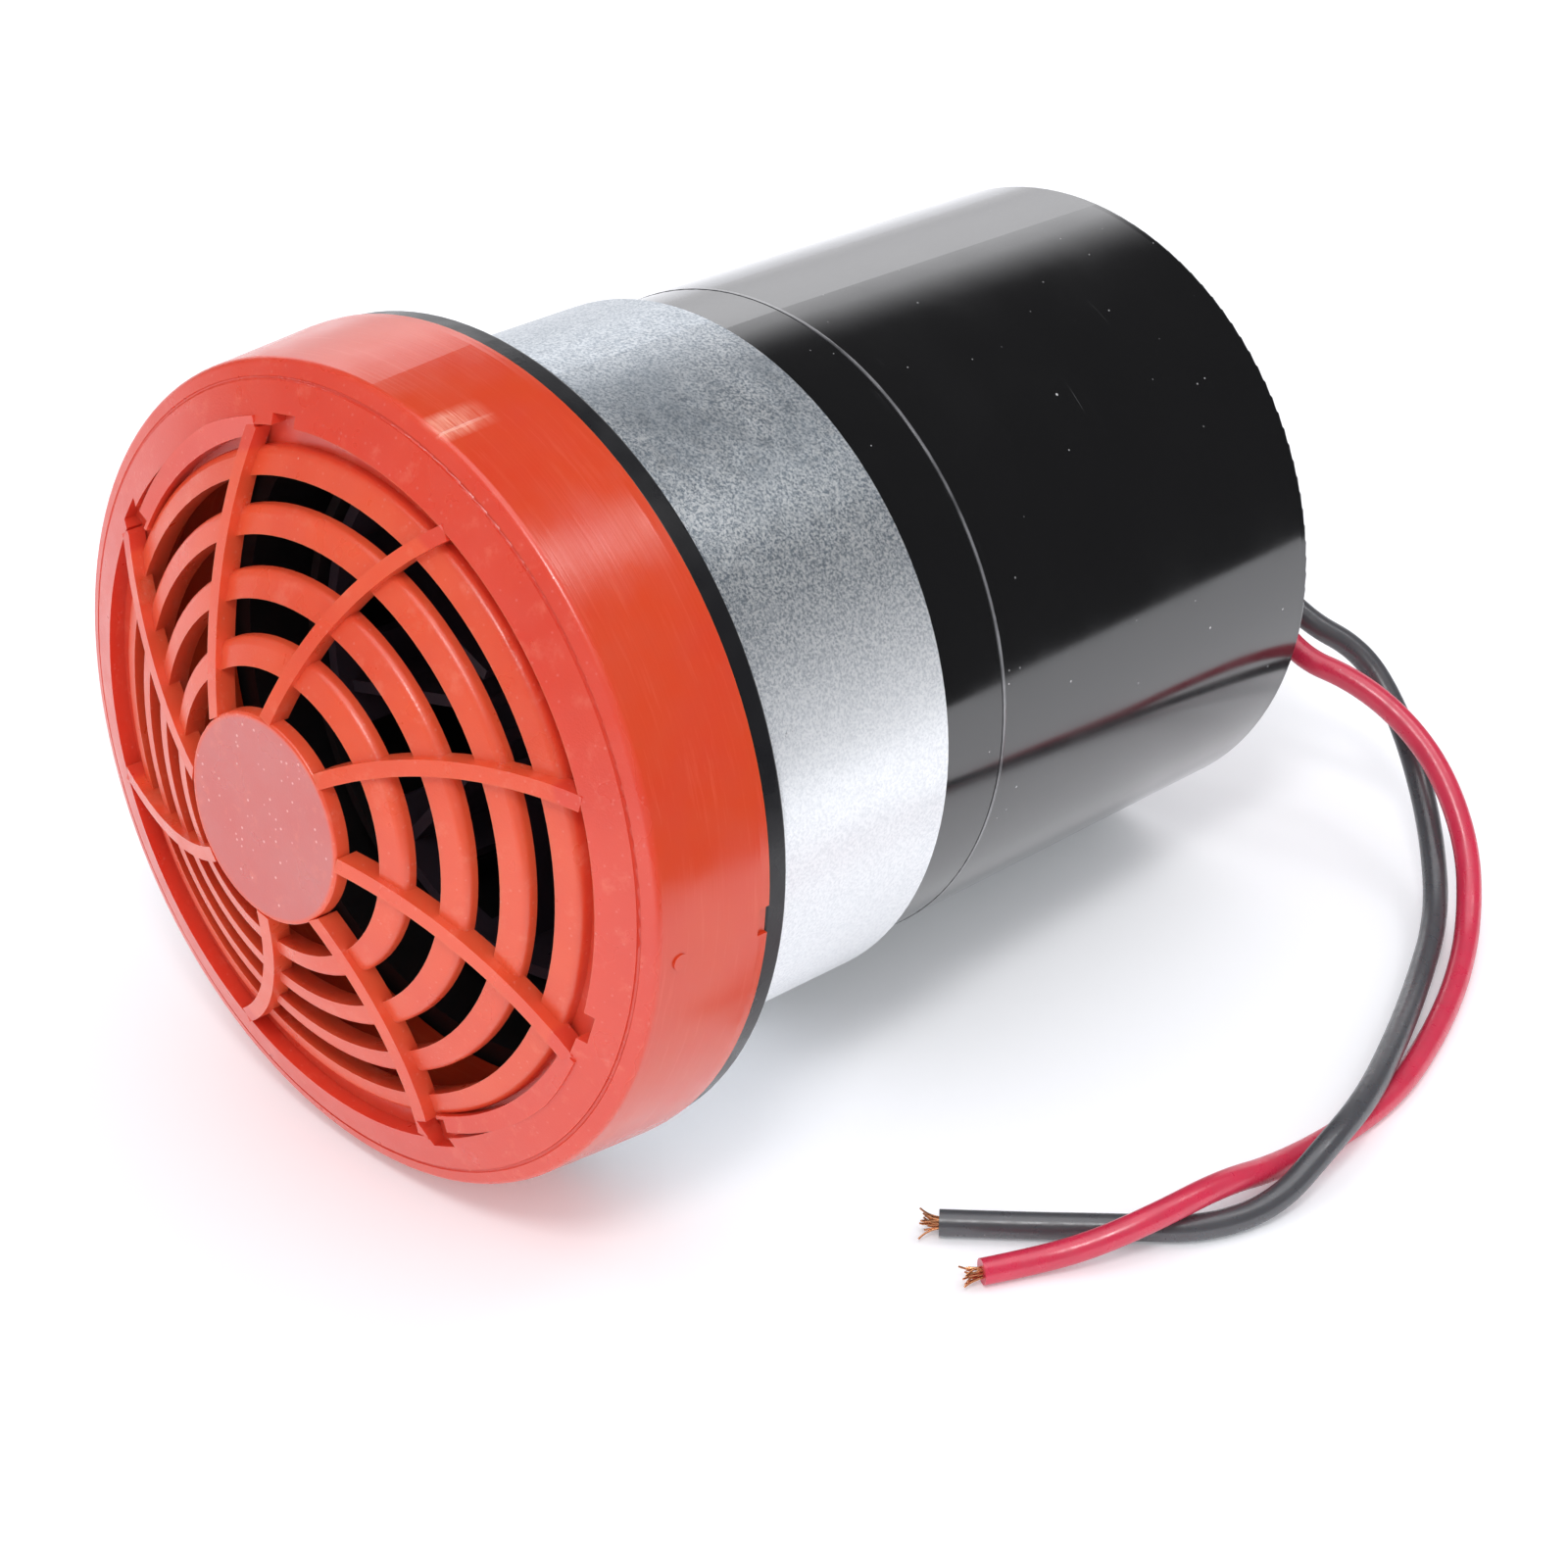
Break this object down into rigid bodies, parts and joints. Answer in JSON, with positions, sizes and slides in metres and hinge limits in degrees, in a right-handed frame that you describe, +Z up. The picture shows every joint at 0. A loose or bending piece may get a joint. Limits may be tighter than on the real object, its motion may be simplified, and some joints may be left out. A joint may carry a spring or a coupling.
{
  "type": "motor siren",
  "caption": "Electric motor siren lying on its side: domed swirl-ribbed grille cap, seal, steel horn housing, motor cover with a rear insert, turning rotor and two free leads.",
  "frame": {"origin": "the floor below the middle of the siren's body, as it lies on the cap's rear edge and the cover's rear edge; the free leads are left out of that middle", "axes": "+Y runs from the grille towards the rear, level with the floor; the siren's own axis slopes down to the rear by 5.4 degrees; +X is to the right seen from the grille; +Z is up"},
  "size_m": [0.111, 0.1256, 0.0815],
  "materials": {
    "red_cap": "moulded red plastic with a fine grain",
    "black_rubber": "smooth dark rubber",
    "galvanised_steel": "galvanised, spangled",
    "zinc_screw": "zinc plated",
    "black_duct": "matt black",
    "rotor_plastic": "matt dark grey",
    "ground_steel": "ground",
    "motor_steel": "nickel plated",
    "bronze": "sintered",
    "ferrite": "sintered ceramic magnet",
    "core_steel": "laminated",
    "copper_wire": "enamelled",
    "copper": "bright copper",
    "carbon": "pressed carbon",
    "brass_strip": "stamped or turned",
    "bell_plastic": "natural nylon",
    "black_gloss": "glossy black",
    "board": "paper laminate",
    "capacitor_case": "moulded yellow case",
    "black_pvc": "smooth insulation",
    "red_pvc": "smooth insulation"
  },
  "bodies": {
    "siren_body": {"grille_cap": "red_cap", "seal_ring": "black_rubber", "horn_housing": "galvanised_steel", "cap_screws": "zinc_screw", "duct_liner": "black_duct", "stator_drum": "black_duct", "motor_plate": "galvanised_steel", "plate_screws": "zinc_screw", "motor_screws": "zinc_screw", "motor_can": "motor_steel", "front_bush": "bronze", "rear_bush": "bronze", "magnet_right": "ferrite", "magnet_left": "ferrite", "brush_upper": "carbon", "brush_lower": "carbon", "brush_terminal_upper": "brass_strip", "brush_terminal_lower": "brass_strip", "end_bell": "bell_plastic", "tube_collar": "black_gloss", "motor_cover": "black_gloss", "mount_insert": "brass_strip", "suppressor_board": "board", "capacitor": "capacitor_case", "board_screws": "zinc_screw", "cable_grommet": "black_rubber", "black_lead": "black_pvc", "red_lead": "red_pvc", "black_strands": "copper", "red_strands": "copper"},
    "rotor_assembly": {"rotor": "rotor_plastic", "rotor_washer": "zinc_screw", "rotor_nut": "zinc_screw", "shaft": "ground_steel", "armature_core": "core_steel", "armature_windings": "copper_wire", "commutator": "copper"}
  },
  "joints": [
    {"name": "rotor_spin", "type": "hinge", "parent": "siren_body", "child": "rotor_assembly", "pos_m": [0, 0.01006, 0.03658], "axis": [0, -0.9955, 0.0946], "continuous": true}
  ]
}
